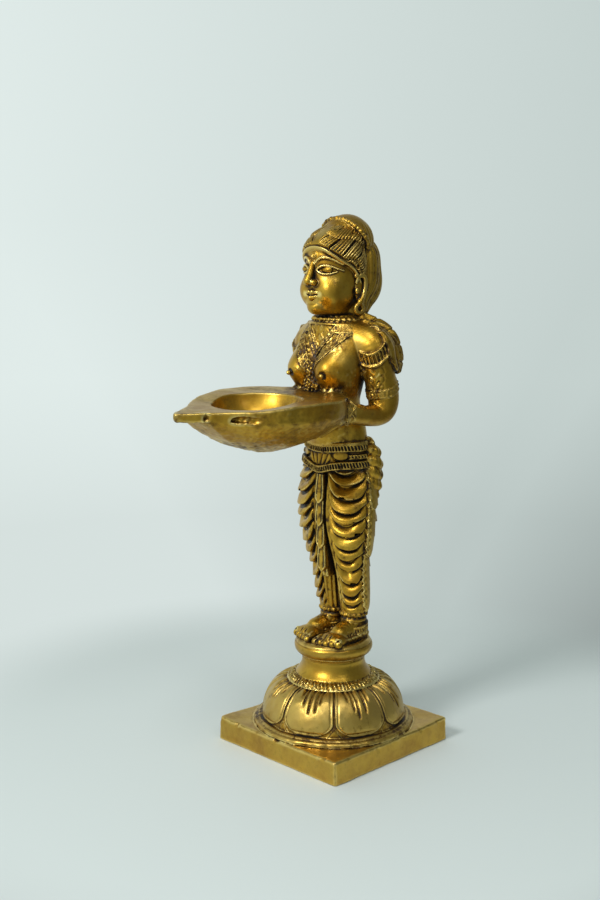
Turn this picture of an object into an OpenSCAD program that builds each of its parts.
// Deepalakshmi lamp: a standing lamp bearer on a lotus pedestal, holding a leaf-shaped oil dish.
// Millimetres, +Z up, the figure faces -Y. The origin is the centre of the plinth's underside.

/* [Plinth] */
// Side of the square plate
plinth_w = 63.5; // [56:0.5:90]
// Thickness of the plate
plinth_t = 9; // [6.5:0.5:12]
// Bevel along the plate's edges
plinth_bevel = 0.5; // [0.2:0.1:1]

/* [Lotus base] */
// Radius of the flange on the plate
lotus_r = 31; // [27:0.5:40]
// Thickness of the flange
flange_t = 1.6; // [1:0.1:3]
// Step from the flange's edge in to the dome
flange_step = 2.4; // [1:0.1:4]
// Height of the dome over the flange
dome_h = 15.4; // [12:0.2:24]
// Radius of the flat on top of the dome
dome_top_r = 17.8; // [17:0.2:22]
// Wall of the hollow casting
lotus_wall = 3; // [2:0.1:4]
// Petals round the dome
petal_n = 8; // [6:1:12]
// Height of a petal over the dome
petal_t = 0.7; // [0.4:0.1:1.6]
// Gap between two petals
petal_gap = 1.2; // [0.6:0.1:3]

/* [Neck and disc] */
// Radius of the neck's foot
neck_foot_r = 14.2; // [12:0.2:16]
// Radius of the neck's waist
neck_waist_r = 13; // [9:0.2:14]
// Height of the neck
neck_h = 11; // [7:0.5:20]
// Width of the rope collar
collar_w = 3.6; // [2:0.1:4]
// Height of the rope collar
collar_h = 3; // [2:0.1:4]
// Notches round the rope collar
collar_n = 36; // [20:1:48]
// Radius of the disc under the feet
disc_r = 15.4; // [15:0.2:20]
// Thickness of the disc
disc_t = 6; // [5:0.2:10]
// Depth of the disc's rounded edge
disc_edge = 2; // [1:0.1:3]

/* [Rod] */
// Diameter of the rod
rod_d = 5; // [4:0.5:6]
// Depth of the tapped hole in the disc
tap_h = 4; // [3:0.2:4.5]
// Room round the rod in the bored pieces
rod_gap = 0.2; // [0.1:0.05:0.5]
// Width of the nut across its flats
nut_w = 8; // [7:0.5:10]
// Height of the nut
nut_h = 3.2; // [2:0.1:3.4]
// Diameter of the washer
washer_d = 11; // [9:0.5:13]
// Thickness of the washer
washer_t = 0.8; // [0.5:0.1:1]

/* [Feet and legs] */
// Half the distance between the ankles
stance = 5.6; // [5:0.1:7]
// Height of the ankle joint over the disc
ankle_h = 8; // [6:0.2:11]
// How far the ankles lie behind the figure's axis
ankle_back = 5.6; // [4:0.1:7]
// Radius of an ankle
ankle_r = 4.3; // [3.5:0.1:5]
// Length of a foot from the ankle to the toes
foot_l = 18; // [13:0.5:19]
// Width of a foot
foot_w = 9.6; // [7:0.1:11]
// Height of the draped legs
leg_h = 62; // [50:1:80]
// Radius at the hem of the cloth
hem_r = 5.3; // [4.6:0.1:7]
// Radius at the knee
knee_r = 6.5; // [6:0.1:9]
// Radius at the thigh
thigh_r = 9.7; // [8.5:0.1:11]
// How far one fold of the cloth stands out
fold_t = 1.1; // [0.3:0.1:1.5]
// Distance from one fold to the next
fold_pitch = 4.9; // [4:0.1:7]
// How far a fold sags at its middle
fold_sag = 3; // [0:0.2:5]
// Thickness of an anklet
anklet_t = 1.3; // [0.8:0.1:2]
// Height of an anklet
anklet_h = 3.4; // [2:0.1:5]

/* [Sashes and belts] */
// Tiers of the front sash
sash_n = 4; // [3:1:6]
// Half width of the front sash
sash_half = 2.6; // [2:0.1:5]
// Thickness of the front sash
sash_t = 1.7; // [1.2:0.1:2.4]
// Length of a side sash
side_sash_l = 36; // [20:1:50]
// Width of a side sash
side_sash_w = 5; // [3:0.1:7]
// Width of a bow at the hip
bow_w = 8; // [5:0.2:10]
// Height of a bow at the hip
bow_h = 21; // [12:0.5:24]
// Height of the hip girdle
girdle_h = 3.6; // [2.4:0.1:6]
// Thickness of the hip girdle
girdle_t = 1.4; // [0.8:0.1:2.4]
// How far the girdle dips at the front
girdle_dip = 2.6; // [1:0.2:6]
// Gap from the girdle up to the waist belt
belt_gap = 2.6; // [1:0.1:5]
// Height of the waist belt
belt_h = 4.4; // [3:0.1:6]
// Thickness of the waist belt
belt_t = 1.5; // [0.8:0.1:2.4]
// How far the belt dips at the front
belt_dip = 1; // [0:0.2:3]

/* [Torso] */
// Height from the hip joint to the neck joint
torso_h = 52; // [46:0.5:62]
// Width of the hips
hip_w = 28.4; // [24:0.2:34]
// Width of the waist
waist_w = 23.4; // [18:0.2:28]
// Width of the chest
chest_w = 28; // [24:0.2:34]
// Width across the shoulder line
shoulder_w = 30; // [26:0.2:38]
// Depth of the body at the chest
chest_d = 19.2; // [16:0.2:24]
// Radius of one breast
bust_r = 8; // [6:0.1:9]
// How far the middle of the breasts lies under the neck joint
bust_drop = 16.2; // [13:0.1:18]
// Half the distance between the middles of the breasts
bust_apart = 7.5; // [6:0.1:8]
// How far the middle of the breasts lies in front of the figure's axis
bust_out = 6.2; // [5:0.1:8]
// Radius of the neck
throat_r = 6.4; // [5:0.1:7.5]
// Height of the throat collar
neck_band_h = 3; // [2:0.1:4]
// Thickness of the throat collar
neck_band_t = 1.2; // [0.8:0.1:2]
// How far the chest necklace hangs under the neck joint
necklace_drop = 10; // [8:0.2:12]
// Radius of the necklace
necklace_r = 1.7; // [1:0.1:2.4]

/* [Arms] */
// Radius of the upper arm
arm_r = 5.8; // [4:0.1:6.4]
// Radius of the wrist
wrist_r = 3.9; // [3.2:0.1:4.6]
// Drop from the shoulder to the elbow
upper_drop = 27; // [22:0.5:32]
// How far the elbow stands out from the shoulder
elbow_out = 2.9; // [1:0.1:8]
// How far the elbow lies behind the shoulder
elbow_back = 6.4; // [3:0.1:12]
// Reach of the forearm from the elbow to the wrist
forearm_l = 19.4; // [16:0.2:26]
// Rise of the forearm to the wrist
forearm_rise = 1.6; // [0:0.1:5]
// Length of a hand
hand_l = 17; // [12:0.2:20]
// Diameter of the peg in the wrist joint
peg_d = 3; // [2:0.1:4]
// Length of the peg in the wrist joint
peg_l = 4; // [2:0.2:6]
// Room round the peg
peg_gap = 0.1; // [0.05:0.05:0.3]
// How far the bangles lie past the wrist joint
bangle_on = 2.4; // [0:0.1:4]
// Thickness of the bangles
bangle_t = 1.1; // [0.6:0.1:2]
// Height of the bangles
bangle_h = 4.6; // [2:0.1:6]
// Thickness of the armlets
armlet_t = 1.1; // [0.6:0.1:2]
// Height of the armlets
armlet_h = 7; // [4:0.2:9]
// Height of the bands at the elbows
elbow_band_h = 3; // [2:0.1:5]
// Length of a shoulder tassel down the arm
tassel_l = 13; // [8:0.5:16]

/* [Dish] */
// Radius of the bowl at its rim
bowl_r = 16.4; // [13:0.1:19]
// Depth of the bowl
bowl_h = 12; // [9:0.2:14]
// How far the bowl lies in front of the dish's centre
bowl_fore = 2; // [0:0.1:4]
// Depth of the whole dish
dish_h = 18; // [15.5:0.2:22]
// Half width of the dish beside the bowl
dish_half = 24.8; // [22:0.1:30]
// Reach of the spout from the dish's centre
spout_l = 39.5; // [32:0.5:50]
// Reach of the dish from its centre back to the body
dish_back = 31; // [29:0.1:34]
// Thickness of the rim
rim_t = 4.6; // [3:0.1:6]
// Height of the bowl's edge over the wrists
dish_rise = 4.6; // [3:0.1:6]
// Reach from the wrists to the dish's centre
dish_reach = 28.6; // [24:0.2:34]
// Rise of the rim from the spout to the sides
rim_lift = 1.8; // [0:0.1:4]

/* [Head] */
// Height from the neck joint to the top of the head
head_h = 41.6; // [36:0.2:50]
// Width of the head
head_w = 21.4; // [18:0.2:26]
// Depth of the head
head_d = 22.8; // [20:0.2:28]
// Thickness of the front hair
hair_t = 1.5; // [0.8:0.1:2.4]
// Radius of the bun on the crown
crown_r = 10.2; // [8:0.1:12]
// Radius of the bun at the nape
nape_r = 11.9; // [9:0.1:12.5]
// Radius of a bead
bead_r = 0.9; // [0.5:0.1:1.4]
// Beads in the string
bead_n = 15; // [11:2:25]
// Height of an ear
ear_h = 11; // [8:0.2:14]
// Radius of an earring
earring_r = 2.6; // [1.6:0.1:3.4]
// Thickness of an earring
earring_t = 1.6; // [0.8:0.1:2.2]

/* [Hidden] */
$fn = 64;

brass = [0.72, 0.56, 0.2];
dark_brass = [0.6, 0.46, 0.18];

// Levels up the lamp
z_dome = plinth_t + flange_t;
z_neck_foot = z_dome + dome_h;
z_disc = z_neck_foot + neck_h;
z_stand = z_disc + disc_t;
z_ankle = z_stand + ankle_h;
z_hip = z_ankle + leg_h;
z_girdle = z_hip - 0.2;
z_belt = z_girdle + girdle_h / 2 + belt_gap + belt_h / 2;
z_throat = z_hip + torso_h;
z_bust = z_throat - bust_drop;
z_top = z_throat + head_h;
dome_r = lotus_r - flange_step;

// Recess under the plate for the washer, the nut and the rod's end
rod_end = 0.5;
recess_h = washer_t + nut_h + 2 * rod_end;
recess_r = washer_d / 2 + 1;

// Rows of [z, y, half width, half depth] up the body
torso_rows = [
    [z_hip - 6, 2.6, hip_w / 2, chest_d / 2 + 1],
    [z_hip, 2.2, hip_w / 2, chest_d / 2 + 0.8],
    [z_hip + 0.16 * torso_h, 1.6, waist_w / 2, chest_d / 2 - 0.7],
    [z_hip + 0.31 * torso_h, 1.2, waist_w / 2, chest_d / 2 - 0.5],
    [z_hip + 0.46 * torso_h, 0.8, mix(waist_w, chest_w, 0.35) / 2, chest_d / 2 - 0.4],
    [z_hip + 0.67 * torso_h, 0.8, chest_w / 2, chest_d / 2],
    [z_hip + 0.83 * torso_h, 1.4, shoulder_w / 2, chest_d / 2 - 1.2],
    [z_hip + 0.92 * torso_h, 1.8, shoulder_w / 2 - 0.6, chest_d / 2 - 1.8],
    [z_hip + 0.97 * torso_h, 1.8, mix(shoulder_w / 2, throat_r, 0.3), mix(chest_d / 2, throat_r, 0.7)],
    [z_throat, 0.8, throat_r + 0.6, throat_r],
];

// Rows of [z, x, y, radius] up the left leg
leg_rows = [
    [z_ankle, stance, ankle_back, ankle_r],
    [z_ankle + 0.05 * leg_h, stance + 0.2, 5.5, hem_r],
    [z_ankle + 0.16 * leg_h, stance + 0.5, 5, mix(hem_r, knee_r, 0.4)],
    [z_ankle + 0.3 * leg_h, stance + 0.8, 3.9, knee_r],
    [z_ankle + 0.48 * leg_h, stance + 1.2, 2.4, mix(knee_r, thigh_r, 0.55)],
    [z_ankle + 0.64 * leg_h, stance + 1.4, 2, thigh_r],
    [z_ankle + 0.82 * leg_h, stance + 1.4, 2.3, thigh_r],
    [z_hip, hip_w / 2 - thigh_r + 0.8, 2.6, thigh_r - 0.8],
];

// Rows of [z, y, half width, half depth] up the head
head_rows = [
    [z_throat, 0.8, throat_r, throat_r],
    [z_throat + 0.09 * head_h, 0.4, throat_r - 0.2, throat_r - 0.2],
    [z_throat + 0.135 * head_h, -2.6, 0.33 * head_w, 0.4 * head_d],
    [z_throat + 0.2 * head_h, -2.5, 0.42 * head_w, 0.465 * head_d],
    [z_throat + 0.31 * head_h, -2, 0.48 * head_w, 0.495 * head_d],
    [z_throat + 0.43 * head_h, -1.6, 0.5 * head_w, 0.5 * head_d],
    [z_throat + 0.55 * head_h, -1.3, 0.5 * head_w, 0.49 * head_d],
    [z_throat + 0.67 * head_h, -0.8, 0.475 * head_w, 0.465 * head_d],
    [z_throat + 0.79 * head_h, 0.8, 0.41 * head_w, 0.39 * head_d],
    [z_throat + 0.87 * head_h, 2.8, 0.27 * head_w, 0.26 * head_d],
    [z_throat + 0.91 * head_h, 4.2, 0.09 * head_w, 0.09 * head_d],
];

// The same rows over the combed hair
hair_rows = [for (i = [5 : len(head_rows) - 1])
    let (s = head_rows[i])
    [s[0] + (i > 7 ? hair_t * (i - 7) / 3 : 0), s[1], s[2] + hair_t, s[3] + hair_t]];

// Joints of the left arm
shoulder = [shoulder_w / 2 + 1.6, 3, z_throat - 4.6];
elbow = shoulder + [elbow_out, elbow_back, -upper_drop];
wrist = elbow + [-1.2, -forearm_l, forearm_rise];
dish_c = [0, wrist.y - dish_reach, wrist.z + dish_rise];
bowl_c = dish_c - [0, bowl_fore, 0];

// Rows of [x, y, z, half width, half height] along the left upper arm
upper_rows = [
    [shoulder.x - 5, shoulder.y - 0.4, shoulder.z + 3.8, arm_r - 2, arm_r - 2],
    [shoulder.x - 1.6, shoulder.y, shoulder.z + 2, arm_r - 0.2, arm_r - 0.2],
    [shoulder.x + 0.4, shoulder.y + 0.6, shoulder.z - 2, arm_r + 0.2, arm_r + 0.4],
    each [for (t = [0.3, 0.5, 0.7]) [each mix(shoulder, elbow, t), arm_r - 0.6 * t, arm_r - 0.4 * t]],
    [elbow.x, elbow.y - 0.6, elbow.z + 3, arm_r - 0.5, arm_r - 0.4],
    [elbow.x, elbow.y - 0.8, elbow.z - 0.5, arm_r - 1.6, arm_r - 1.5],
];

// Rows along the left forearm
fore_rows = [
    [elbow.x, elbow.y - 0.4, elbow.z + 0.2, arm_r - 1.6, arm_r - 1.4],
    [elbow.x - 0.2, elbow.y - 4.2, elbow.z + 0.3, arm_r - 0.6, arm_r - 0.3],
    each [for (t = [0.45, 0.7, 1])
        [each mix(elbow, wrist, t), mix(arm_r - 0.4, wrist_r, t), mix(arm_r, wrist_r + 0.3, t)]],
];

// Rows along the left hand, from the wrist out under the dish's rim
hand_rows = [
    [wrist.x, wrist.y, wrist.z, wrist_r, wrist_r + 0.3],
    [wrist.x + 0.8, wrist.y - 0.25 * hand_l, wrist.z + 0.3, wrist_r + 0.1, wrist_r + 0.6],
    [wrist.x + 2.4, wrist.y - 0.5 * hand_l, wrist.z + 0.2, wrist_r - 0.2, wrist_r + 0.4],
    [wrist.x + 3.4, wrist.y - 0.8 * hand_l, wrist.z - 0.2, wrist_r - 1, wrist_r - 0.8],
    [wrist.x + 3.2, wrist.y - hand_l, wrist.z - 0.4, wrist_r - 2.4, wrist_r - 2.4],
];

function mix(a, b, t) = a + (b - a) * t;

// Eases from 0 to 1
function ease(t) = let (u = max(0, min(1, t))) u * u * (3 - 2 * u);

function row_of(rows, k, i = 0) = i >= len(rows) - 2 || k < rows[i + 1][0] ? i : row_of(rows, k, i + 1);

function slope_of(rows, i) =
    let (a = max(i - 1, 0), b = min(i + 1, len(rows) - 1))
    (rows[b] - rows[a]) / (rows[b][0] - rows[a][0]);

// Smooth row between the given rows, whose first value is the key
function row_at(rows, k) =
    let (
        i = row_of(rows, k),
        p = rows[i],
        q = rows[i + 1],
        h = q[0] - p[0],
        t = max(0, min(1, (k - p[0]) / h)),
        m = slope_of(rows, i) * h,
        n = slope_of(rows, i + 1) * h
    )
    (2 * pow(t, 3) - 3 * t * t + 1) * p + (pow(t, 3) - 2 * t * t + t) * m
        + (3 * t * t - 2 * pow(t, 3)) * q + (pow(t, 3) - t * t) * n;

// Ring round the body at a level; the angle is 0 at the front and grows to the left
function body_point(rows, a, z, out = 0) =
    let (s = row_at(rows, z), apart = len(s) > 4 ? s[4] * max(-1, min(1, 1.5 * sin(a))) : 0)
    [(s[2] + out) * sin(a) + apart, s[1] - (s[3] + out) * cos(a), z];

function body_ring(rows, z, n) = [for (i = [0 : n - 1]) body_point(rows, 360 * i / n, z)];

function levels(low, high, count) = [for (i = [0 : count]) mix(low, high, i / count)];

function unit(v) = v / norm(v);

// Ring of an oval section across a path, one half width along the side direction
function path_ring(rows, i, n, side) =
    let (
        a = rows[max(i - 1, 0)],
        b = rows[min(i + 1, len(rows) - 1)],
        t = unit([b[0] - a[0], b[1] - a[1], b[2] - a[2]]),
        u = unit(side - (side * t) * t),
        w = cross(t, u),
        c = [rows[i][0], rows[i][1], rows[i][2]]
    )
    [for (j = [0 : n - 1]) let (d = 360 * j / n)
        c + rows[i][3] * cos(d) * u + rows[i][4] * sin(d) * w];

// Ring round a leg; the rings alternate between the crests and the grooves of the folds and sag at the front
function leg_ring(i, count, n) =
    let (crest = i % 2 == 1, ends = i == 0 || i == count)
    [for (j = [0 : n - 1])
        let (
            a = 360 * j / n,
            front = max(0, cos(a - 30)),
            z = mix(z_ankle, z_hip, i / count) - fold_sag * front * ease(min(i, count - i) / 5),
            s = row_at(leg_rows, z),
            r = s[3] + (ends ? 0 : fold_t * (crest ? 0.5 : -0.5) * (0.3 + 0.7 * front))
        )
        [s[1] + r * sin(a), s[2] - r * cos(a), z]];

// Outline of the dish from its centre; the angle is 0 at the spout
function dish_edge(a) =
    let (b = abs(a > 180 ? a - 360 : a))
    dish_half + (spout_l - dish_half) * exp(-(sqrt(b * b + 9) - 3) / 13)
        + (dish_back - dish_half) * ease((b - 75) / 60);

// Depth under the rim at a distance from the dish's centre
function dish_depth(r, a) =
    let (reach = min(dish_edge(a), dish_half + 6))
    rim_t * (0.75 + 0.25 * ease(abs(a > 180 ? a - 360 : a) / 40))
        + (dish_h - rim_t) * pow(max(0, 1 - pow(r / reach, 1.9)), 0.9);

function dish_ring(share, n) = [for (i = [0 : n - 1]) let (a = 360 * i / n, r = share * dish_edge(a))
    [r * sin(a), -r * cos(a), -dish_depth(r, a)]];

function rim_ring(grow, z, n) = [for (i = [0 : n - 1])
    let (
        a = 360 * i / n,
        r = dish_edge(a) + grow,
        lift = rim_lift * ease((abs(a > 180 ? a - 360 : a) - 35) / 65)
    )
    [r * sin(a), -r * cos(a), z + lift]];

// Skin over a row of rings, closed at both ends
module loft(rings) {
    n = len(rings[0]);
    m = len(rings);
    low = [for (k = [0 : 2]) [for (p = rings[0]) p[k]] * [for (p = rings[0]) 1] / n];
    high = [for (k = [0 : 2]) [for (p = rings[m - 1]) p[k]] * [for (p = rings[m - 1]) 1] / n];
    polyhedron(
        points = [each [for (ring = rings) each ring], low, high],
        faces = [
            for (i = [0 : m - 2], j = [0 : n - 1]) let (k = (j + 1) % n) each [
                [i * n + j, (i + 1) * n + j, (i + 1) * n + k],
                [i * n + j, (i + 1) * n + k, i * n + k],
            ],
            for (j = [0 : n - 1]) let (k = (j + 1) % n) each [
                [m * n, j, k],
                [m * n + 1, (m - 1) * n + k, (m - 1) * n + j],
            ]
        ]
    );
}

// Skin over a row of rings that closes on itself
module loop(rings) {
    n = len(rings[0]);
    m = len(rings);
    polyhedron(
        points = [for (ring = rings) each ring],
        faces = [for (i = [0 : m - 1], j = [0 : n - 1]) let (k = (j + 1) % n, o = (i + 1) % m) each [
            [i * n + j, o * n + j, o * n + k],
            [i * n + j, o * n + k, i * n + k],
        ]]
    );
}

module limb(rows, n = 16, side = [1, 0, 0]) {
    loft([for (i = [0 : len(rows) - 1]) path_ring(rows, i, n, side)]);
}

// One cast skin over all the lobes of a piece
module cast() {
    resize([0, 0, 0]) children();
}

module egg(c, r, n = 28) {
    translate(c) scale(r) sphere(1, $fn = n);
}

module right() {
    mirror([1, 0, 0]) children();
}

// Everything over a level
module over(z) {
    translate([-100, -150, z]) cube([200, 300, 300]);
}

// Everything under a level
module under(z) {
    translate([-100, -150, z - 300]) cube([200, 300, 300]);
}

// Ribbed band on a body, dipping at the front
module band(rows, z, h, t, dip, n = 36) {
    loop([for (i = [0 : n - 1])
        let (
            a = 360 * i / n,
            mid = z - dip * pow(max(0, cos(a)), 3),
            out = t * (i % 2 == 0 ? 1 : 0.72)
        )
        [
            body_point(rows, a, mid - h / 2, -0.8),
            body_point(rows, a, mid + h / 2, -0.8),
            body_point(rows, a, mid + h / 2, 0.7 * out),
            body_point(rows, a, mid, out),
            body_point(rows, a, mid - h / 2, 0.7 * out),
        ]]);
}

module dome_face(out) {
    polygon([
        [0, z_dome - 0.01],
        each [for (t = [0 : 7.5 : 90])
            [dome_top_r + (dome_r - dome_top_r + out) * cos(t), z_dome + (dome_h + out) * sin(t)]],
        [0, z_dome + dome_h + out],
    ]);
}

module plinth() {
    color(brass) difference() {
        hull() {
            translate([-plinth_w / 2, -plinth_w / 2, plinth_bevel])
                cube([plinth_w, plinth_w, plinth_t - 2 * plinth_bevel]);
            translate([plinth_bevel - plinth_w / 2, plinth_bevel - plinth_w / 2, 0])
                cube([plinth_w - 2 * plinth_bevel, plinth_w - 2 * plinth_bevel, plinth_t]);
        }
        translate([0, 0, -1]) cylinder(d = rod_d + 2 * rod_gap, h = plinth_t + 2);
        translate([0, 0, -1]) cylinder(r = recess_r, h = recess_h + 1);
    }
}

module lotus_base() {
    color(brass) rotate_extrude() polygon([
        [lotus_r - lotus_wall - flange_step, plinth_t],
        [lotus_r, plinth_t],
        [lotus_r, z_dome],
        each [for (t = [0 : 7.5 : 90])
            [dome_top_r + (dome_r - dome_top_r) * cos(t), z_dome + dome_h * sin(t)]],
        [rod_d / 2 + rod_gap, z_dome + dome_h],
        [rod_d / 2 + rod_gap, z_dome + dome_h - lotus_wall],
        each [for (t = [90 : -15 : 0]) [
            dome_top_r - lotus_wall + (dome_r - dome_top_r) * cos(t),
            z_dome + (dome_h - lotus_wall) * sin(t)
        ]],
    ]);
}

module lotus_petals() {
    low = z_dome + 0.06 * dome_h;
    high = z_dome + 0.95 * dome_h;
    function reach(u) = dome_top_r + (dome_r - dome_top_r) * sqrt(1 - pow(0.06 + 0.89 * u, 2));
    function half(u) =
        (reach(u) * sin(180 / petal_n) - petal_gap / 2) * sqrt(1 - pow(1 - min(1, (u + 0.02) / 0.4), 2));
    color(brass) for (i = [0 : petal_n - 1]) rotate([0, 0, 360 * (i + 0.5) / petal_n]) intersection() {
        difference() {
            rotate_extrude() dome_face(petal_t);
            rotate_extrude() dome_face(0);
        }
        rotate([90, 0, 0]) linear_extrude(lotus_r + 5) polygon([
            each [for (k = [0 : 14]) [half(k / 14), mix(low, high, k / 14)]],
            each [for (k = [14 : -1 : 0]) [-half(k / 14), mix(low, high, k / 14)]],
        ]);
    }
}

module rope_collar() {
    color(brass) difference() {
        rotate_extrude() polygon([
            [neck_foot_r, z_neck_foot],
            each [for (t = [0 : 10 : 90])
                [neck_foot_r + collar_w * pow(cos(t), 0.8), z_neck_foot + collar_h * pow(sin(t), 0.8)]],
        ]);
        for (i = [0 : collar_n - 1]) rotate([0, 0, 360 * i / collar_n])
            translate([neck_foot_r + 0.77 * collar_w, 0, z_neck_foot + 0.77 * collar_h])
                rotate([12, atan2(-collar_w, collar_h), 0])
                    cylinder(r = 0.5, h = 2 * collar_w, center = true, $fn = 20);
    }
}

module pedestal_neck() {
    rest = neck_h - collar_h;
    color(brass) rotate_extrude() polygon([
        [rod_d / 2 + rod_gap, z_neck_foot],
        [neck_foot_r, z_neck_foot],
        each [for (u = [0 : 0.1 : 1]) [
            neck_waist_r + (neck_foot_r - neck_waist_r) * pow(abs(1 - u / 0.68), 2),
            z_neck_foot + collar_h + rest * u
        ]],
        [rod_d / 2 + rod_gap, z_disc],
    ]);
}

module foot_disc() {
    color(brass) difference() {
        rotate_extrude() polygon([
            [0, z_disc],
            each [for (t = [-90 : 10 : 90])
                [disc_r - disc_edge + disc_edge * cos(t), z_disc + disc_t / 2 * (1 + sin(t))]],
            [0, z_stand],
        ]);
        translate([0, 0, z_disc - 1]) cylinder(d = rod_d, h = tap_h + 1);
    }
}

module tie_rod() {
    low = recess_h - washer_t - nut_h - rod_end;
    color(dark_brass) translate([0, 0, low]) cylinder(d = rod_d, h = z_disc + tap_h - low);
}

module base_washer() {
    color(dark_brass) translate([0, 0, recess_h - washer_t]) difference() {
        cylinder(d = washer_d, h = washer_t);
        translate([0, 0, -1]) cylinder(d = rod_d + 2 * rod_gap, h = washer_t + 2);
    }
}

module base_nut() {
    color(dark_brass) translate([0, 0, recess_h - washer_t - nut_h]) difference() {
        cylinder(d = nut_w / cos(30), h = nut_h, $fn = 6);
        translate([0, 0, -1]) cylinder(d = rod_d, h = nut_h + 2);
    }
}

module foot_form() {
    ball = foot_l * 0.68;
    translate([stance, ankle_back, z_stand]) rotate([0, 0, 4]) {
        hull() {
            egg([0, 2.2, 2.6], [ankle_r - 0.4, ankle_r - 0.6, 3.2], 8);
            egg([0, 0, ankle_h], [ankle_r, ankle_r, 1], 8);
        }
        hull() {
            egg([0, 0.5, ankle_h], [ankle_r - 0.1, ankle_r - 0.4, 1], 8);
            egg([0.2, -0.5 * ball, 3], [foot_w / 2 - 0.5, 3, 2.6], 8);
            egg([0, 2, 2], [ankle_r - 0.6, 3, 2.4], 8);
        }
        hull() {
            egg([0.2, -0.5 * ball, 2.8], [foot_w / 2 - 0.5, 3, 2.6], 8);
            egg([0.3, -ball, 1.6], [foot_w / 2, 2.6, 1.8], 8);
        }
        for (k = [0 : 4]) {
            x = foot_w * (k - 2) * 0.205;
            tip = foot_l - (k == 0 ? 1.1 : 1.4) - 0.28 * pow(k, 1.6);
            hull() {
                egg([x, -ball, 1.2], [0.95, 1, 1.4], 6);
                egg([x, -tip, 1], [k == 0 ? 1.15 : 0.85, 1.3, 1.1], 6);
            }
        }
    }
}

module foot_left() {
    color(brass) cast() intersection() {
        foot_form();
        over(z_stand);
        under(z_ankle);
    }
}

module foot_right() {
    right() foot_left();
}

module leg_form() {
    count = 2 * round(leg_h / fold_pitch);
    loft([for (i = [0 : count]) leg_ring(i, count, 20)]);
}

module draped_legs() {
    color(brass) cast() {
        leg_form();
        right() leg_form();
    }
}

module anklet_left() {
    n = 18;
    color(brass) cast() difference() {
        loop([for (i = [0 : n - 1])
            let (a = 360 * i / n, bead = i % 2 == 0 ? 1 : 0.6)
            [for (p = [[-1, -1], [-1, 1], [0.6 * bead, 1], [bead, 0], [0.6 * bead, -1]])
                let (r = ankle_r + (p[0] < 0 ? -1 : 0.4 + anklet_t * p[0]))
                [stance + r * sin(a), ankle_back - r * cos(a), z_ankle + p[1] * anklet_h / 2]]]);
        leg_form();
        foot_form();
    }
}

module anklet_right() {
    right() anklet_left();
}

function leg_front(z) = let (s = row_at(leg_rows, z)) s[2] - 0.78 * s[3];

module front_sash() {
    top = z_hip - 3;
    step = 0.147 * leg_h;
    color(brass) cast() difference() {
        for (i = [0 : sash_n - 1], side = [-1, 1]) {
            high = top - i * step;
            wide = high - 0.9 * step;
            low = high - 1.36 * step;
            out = 0.5 * sash_t;
            hull() {
                egg([side * 0.5, leg_front(high), high], [out, out, out], 6);
                egg([side * (sash_half - 1.4), leg_front(high) + 0.4, high], [out, out, out], 6);
                egg([side * (sash_half - 0.6), leg_front(wide) - 0.2, wide], [out, out, out], 6);
                egg([side * 0.6, leg_front(wide) - 0.8, wide], [out, out, out], 6);
                egg([side * 0.5, leg_front(low) - 0.5, low], [out, out, out], 6);
            }
        }
        leg_form();
        right() leg_form();
        over(z_hip);
    }
}

module side_sash_left() {
    top = z_hip - 4.4;
    n = 10;
    color(brass) cast() difference() {
        limb([for (i = [0 : n])
            let (
                z = top - side_sash_l * i / n,
                s = row_at(leg_rows, z),
                a = 98 + (i % 2 == 0 ? 5 : -5),
                wide = side_sash_w / 2 * (i == n ? 0.4 : 1)
            )
            [s[1] + (s[3] + 0.2) * sin(a), s[2] - (s[3] + 0.2) * cos(a), z, 1.5, wide]], 8);
        bow_form();
        leg_form();
        girdle_form();
    }
}

module bow_form() {
    s = row_at(leg_rows, z_hip - 4);
    z = z_belt - belt_h / 2 - 0.4 - bow_h / 2;
    egg([s[1] + 0.88 * s[3], s[2] + 0.42 * s[3], z], [bow_w / 2, bow_w / 2, bow_h / 2], 14);
}

module hip_bow_left() {
    color(brass) cast() difference() {
        bow_form();
        leg_form();
        torso_form();
        girdle_form();
    }
}

module hip_bow_right() {
    right() hip_bow_left();
}

module side_sash_right() {
    right() side_sash_left();
}

// Rows round both legs, for the girdle
hip_rows = [for (s = leg_rows) [s[0], s[2], s[3] + 0.4, s[3] + 0.4, s[1]]];

module girdle_form() {
    band(hip_rows, z_girdle, girdle_h, girdle_t, girdle_dip);
}

module hip_girdle() {
    color(brass) cast() difference() {
        girdle_form();
        leg_form();
        right() leg_form();
        front_sash();
        torso_form();
    }
}

module belt_form() {
    band(torso_rows, z_belt, belt_h, belt_t, belt_dip);
}

module waist_belt() {
    color(brass) cast() difference() {
        belt_form();
        torso_form();
        leg_form();
        right() leg_form();
        girdle_form();
    }
}

module torso_form() {
    loft([for (z = levels(z_hip, z_throat, 15)) body_ring(torso_rows, z, 22)]);
    for (side = [-1, 1]) {
        egg([side * bust_apart, -bust_out, z_bust], [bust_r, 1.175 * bust_r, bust_r], 16);
        egg([side * 1.125 * bust_apart, -bust_out - 1.125 * bust_r, z_bust - 0.1 * bust_r],
            bust_r * [0.16, 0.125, 0.16], 8);
    }
}

module torso() {
    color(brass) cast() torso_form();
}

module neck_band() {
    color(brass) cast() difference() {
        loft([for (p = [[-1, 0.3], [-0.5, 1], [0.5, 1], [1, 0.3]])
            let (z = z_throat + 0.7 + p[0] * neck_band_h / 2, r = throat_r + neck_band_t * p[1])
            [for (i = [0 : 19]) [r * sin(18 * i), 0.8 - r * cos(18 * i), z]]]);
        torso_form();
        head_form();
        necklace_form();
    }
}

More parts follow.
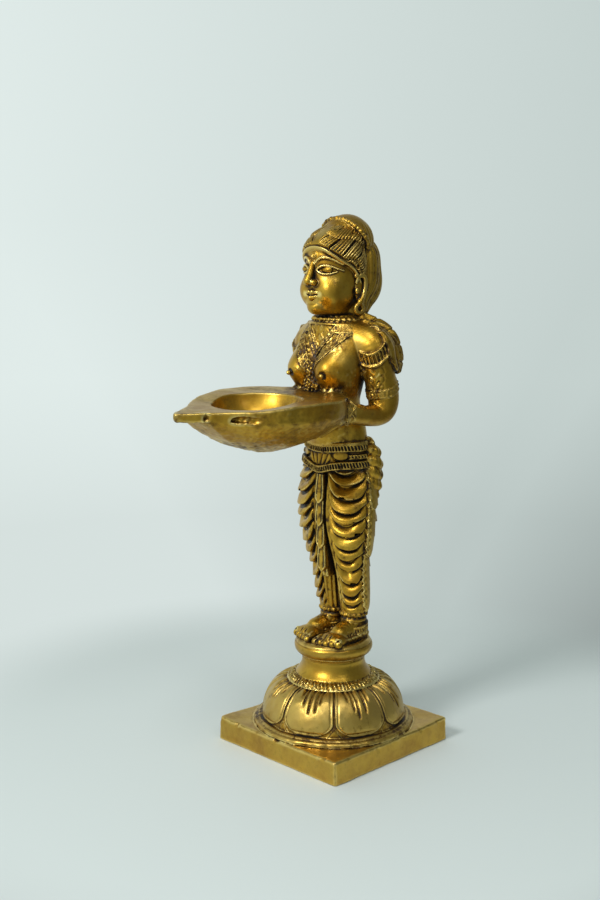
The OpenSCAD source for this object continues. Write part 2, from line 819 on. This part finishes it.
// Hanging loop over the shoulders and the chest, with its pendant
module necklace_form() {
    n = 24;
    loop([for (i = [0 : n - 1])
        let (
            a = 360 * i / n,
            z = z_throat - 0.8 - (necklace_drop - 0.8) * pow(max(0, cos(a) / 0.65 - 0.53), 1.1),
            c = body_point(torso_rows, a, z, 0.4),
            bead = necklace_r * (i % 2 == 0 ? 1 : 0.84),
            o = unit([sin(a), -cos(a), 0.7]),
            w = cross([cos(a), sin(a), 0], o)
        )
        [for (j = [0 : 5]) c + bead * cos(60 * j) * o + 1.5 * bead * sin(60 * j) * w]]);
    egg(body_point(torso_rows, 0, z_throat - necklace_drop - 1.6, 0.8), [2.6, 2.4, 3], 10);
}

module chest_necklace() {
    color(brass) cast() difference() {
        necklace_form();
        torso_form();
        arm_form();
        right() arm_form();
    }
}

module arm_form() {
    limb(upper_rows, 12);
    limb(fore_rows, 12);
    egg(elbow + [0, -0.7, 0.4], [arm_r - 0.45, arm_r - 0.5, arm_r - 0.4], 12);
}

module arm_left() {
    color(brass) cast() difference() {
        arm_form();
        torso_form();
        translate(wrist) rotate([-90, 0, 0]) translate([0, 0, -1])
            cylinder(d = peg_d + 2 * peg_gap, h = peg_l + 1.4, $fn = 20);
    }
}

module arm_right() {
    right() arm_left();
}

// Collar round the left arm between two places on it
module sleeve(low, high, t, ribs) {
    n = 16;
    axis = unit(high - low);
    u = unit([1, 0, 0] - axis[0] * axis);
    w = cross(axis, u);
    loop([for (i = [0 : n - 1])
        let (a = 360 * i / n, out = t * (ribs && i % 2 == 1 ? 0.7 : 1), d = cos(a) * u + sin(a) * w)
        [
            low + (arm_r - 2) * d,
            high + (arm_r - 2) * d,
            high + (arm_r + 0.4 * out) * d,
            mix(low, high, 0.6) + (arm_r + 0.9 * out) * d,
            low + (arm_r + out) * d,
        ]]);
}

module armlet_form() {
    top = mix(shoulder, elbow, 0.1) + [0.2, 0.4, 0];
    sleeve(top - armlet_h * unit(shoulder - elbow), top, armlet_t, true);
}

module armlet_left() {
    color(brass) cast() difference() {
        armlet_form();
        arm_form();
        torso_form();
    }
}

module armlet_right() {
    right() armlet_left();
}

module elbow_band_left() {
    low = mix(shoulder, elbow, 0.72);
    color(brass) cast() difference() {
        sleeve(low, low + elbow_band_h * unit(shoulder - elbow), 0.5, false);
        arm_form();
        torso_form();
    }
}

module elbow_band_right() {
    right() elbow_band_left();
}

module tassel_form() {
    start = [throat_r + 1.5, 6.6, z_throat + 1];
    bend = shoulder + [0.8, 6, 3.2];
    end = bend + [4.6, 2.4, -tassel_l];
    limb([
        [each start, 1.6, 1.4],
        [each mix(start, bend, 0.3), 3, 2.6],
        [each mix(start, bend, 0.6), 2.6, 2.3],
        [each mix(start, bend, 0.9), 3.4, 3],
        [each mix(bend, end, 0.2), 2.9, 2.6],
        [each mix(bend, end, 0.45), 3.3, 2.9],
        [each mix(bend, end, 0.7), 2.7, 2.3],
        [each mix(bend, end, 0.88), 2.2, 1.8],
        [each end, 0.8, 0.8],
    ], 10);
}

module shoulder_tassel_left() {
    color(brass) cast() difference() {
        tassel_form();
        torso_form();
        arm_form();
        armlet_form();
    }
}

module shoulder_tassel_right() {
    right() shoulder_tassel_left();
}

module bangle_left() {
    n = 16;
    r = wrist_r + 0.6;
    color(brass) cast() difference() {
        loop([for (i = [0 : n - 1])
            let (a = 360 * i / n)
            [for (p = [[-2, 1], [0.8, 1], [1, 0.6], [0.3, 0], [1, -0.6], [0.8, -1], [-2, -1]])
                let (s = r + (p[0] < 0 ? p[0] : bangle_t * p[0]))
                [wrist.x + s * cos(a), wrist.y - bangle_on - bangle_h / 2 * p[1], wrist.z + (s + 0.3) * sin(a)]]]);
        arm_form();
        hand_form();
        dish_form();
    }
}

module bangle_right() {
    right() bangle_left();
}

module hand_form() {
    limb(hand_rows, 10);
}

module hand_left() {
    color(brass) cast() difference() {
        union() {
            difference() {
                hand_form();
                arm_form();
            }
            translate(wrist) rotate([-90, 0, 0]) translate([0, 0, -1])
                cylinder(d = peg_d, h = peg_l + 1, $fn = 20);
        }
        lamp_dish();
    }
}

module hand_right() {
    right() hand_left();
}

module dish_form() {
    n = 46;
    translate(dish_c) loft([
        for (share = [0.14, 0.38, 0.58, 0.74, 0.88, 1]) dish_ring(share, n),
        rim_ring(0.3, -0.4 * rim_t, n),
        rim_ring(0, 0, n),
    ]);
}

module lamp_dish() {
    ball = (bowl_r * bowl_r + bowl_h * bowl_h) / (2 * bowl_h);
    color(brass) cast() difference() {
        dish_form();
        translate(bowl_c + [0, 0, ball - bowl_h]) sphere(ball, $fn = 30);
        translate(bowl_c) cylinder(r = bowl_r - 0.1, h = dish_h, $fn = 30);
        hull() {
            translate(bowl_c + [0, 2 - bowl_r, 0.4]) sphere(1.4, $fn = 10);
            translate(dish_c + [0, 3 - spout_l, 0.6]) sphere(1, $fn = 10);
        }
        torso_form();
    }
}

module head_form() {
    front = 0.5 * head_d;
    loft([for (z = levels(z_throat, z_throat + 0.91 * head_h, 14)) body_ring(head_rows, z, 20)]);
    hull() {
        egg([0, -front - 0.3, z_throat + 0.53 * head_h], [1, 1.2, 1.4], 8);
        egg([0, -front - 3.5, z_throat + 0.385 * head_h], [1.4, 1.4, 1.4], 8);
        for (side = [-1, 1]) egg([side * 2, -front - 1.6, z_throat + 0.37 * head_h], [1.2, 1.3, 1.2], 8);
    }
    for (side = [-1, 1]) egg([side * 4.8, 0.9 - front, z_throat + 0.49 * head_h], [2.8, 1.8, 1.4], 10);
    egg([0, -front - 1.5, z_throat + 0.255 * head_h], [3, 1.3, 0.9], 10);
    egg([0, -front - 1.2, z_throat + 0.218 * head_h], [2.3, 1.3, 1], 10);
    egg([0, -front + 0.3, z_throat + 0.155 * head_h], [2.6, 2.2, 2.2], 10);
    egg([0, -front - 0.6, z_throat + 0.625 * head_h], [1.2, 0.8, 1.2], 8);
}

module head() {
    color(brass) cast() head_form();
}

crown_c = [0, 6, z_top - crown_r];
nape_c = [0, 9.2, z_throat + 0.41 * head_h];

module hair_form() {
    low = hair_rows[0][0];
    high = hair_rows[len(hair_rows) - 1][0];
    difference() {
        loft([for (z = levels(low, high, 8)) body_ring(hair_rows, z, 20)]);
        translate([0, -head_d / 2 - 1.6, z_throat + 0.7 * head_h]) rotate([-42, 0, 0])
            translate([-40, -60, -60]) cube([80, 120, 60]);
    }
}

module front_hair() {
    color(brass) cast() difference() {
        hair_form();
        head_form();
        crown_form();
        nape_form();
    }
}

module crown_form() {
    egg(crown_c, [crown_r + 0.3, crown_r, crown_r], 20);
}

module crown_bun() {
    color(brass) cast() difference() {
        crown_form();
        head_form();
    }
}

module nape_form() {
    egg(nape_c, [nape_r, nape_r - 0.4, nape_r + 2.2], 20);
}

module nape_bun() {
    color(brass) cast() difference() {
        nape_form();
        head_form();
        crown_form();
        torso_form();
    }
}

module bead_string() {
    m = bead_n * 2;
    color(brass) cast() difference() {
        limb([for (i = [0 : m])
            let (
                t = mix(-104, 104, i / m),
                r = bead_r * (i % 2 == 0 ? 0.5 : 1)
            )
            [
                crown_c.x + (crown_r + 0.7) * sin(t),
                crown_c.y - 5.2 * pow(max(0, cos(t)), 0.8) + 0.4,
                crown_c.z + (crown_r - 0.5) * cos(t),
                r,
                r,
            ]], 6, [0, 1, 0]);
        crown_form();
        hair_form();
        head_form();
        nape_form();
    }
}

module ear_form() {
    z = z_throat + 0.33 * head_h;
    hull() {
        egg([head_w / 2 - 0.4, 2.2, z + ear_h / 2 - 2.2], [1.5, 2.4, 2.2], 12);
        egg([head_w / 2 + 0.1, 1.4, z - ear_h / 2 + 1.6], [1.3, 1.6, 1.6], 12);
    }
}

module ear_left() {
    color(brass) cast() difference() {
        ear_form();
        head_form();
        hair_form();
        crown_form();
        nape_form();
    }
}

module ear_right() {
    right() ear_left();
}

module earring_left() {
    z = z_throat + 0.33 * head_h - ear_h / 2 - earring_r + 1;
    color(brass) cast() difference() {
        translate([head_w / 2 + 0.3, 1.4, z]) rotate([0, 90, 0])
            rotate_extrude($fn = 16) translate([earring_r - earring_t / 2, 0]) circle(d = earring_t, $fn = 8);
        ear_form();
        head_form();
        nape_form();
        torso_form();
    }
}

module earring_right() {
    right() earring_left();
}

plinth();
lotus_base();
lotus_petals();
rope_collar();
pedestal_neck();
foot_disc();
tie_rod();
base_washer();
base_nut();
foot_left();
foot_right();
anklet_left();
anklet_right();
draped_legs();
front_sash();
side_sash_left();
side_sash_right();
hip_bow_left();
hip_bow_right();
hip_girdle();
waist_belt();
torso();
neck_band();
chest_necklace();
arm_left();
arm_right();
armlet_left();
armlet_right();
elbow_band_left();
elbow_band_right();
shoulder_tassel_left();
shoulder_tassel_right();
bangle_left();
bangle_right();
hand_left();
hand_right();
lamp_dish();
head();
front_hair();
crown_bun();
nape_bun();
bead_string();
ear_left();
ear_right();
earring_left();
earring_right();
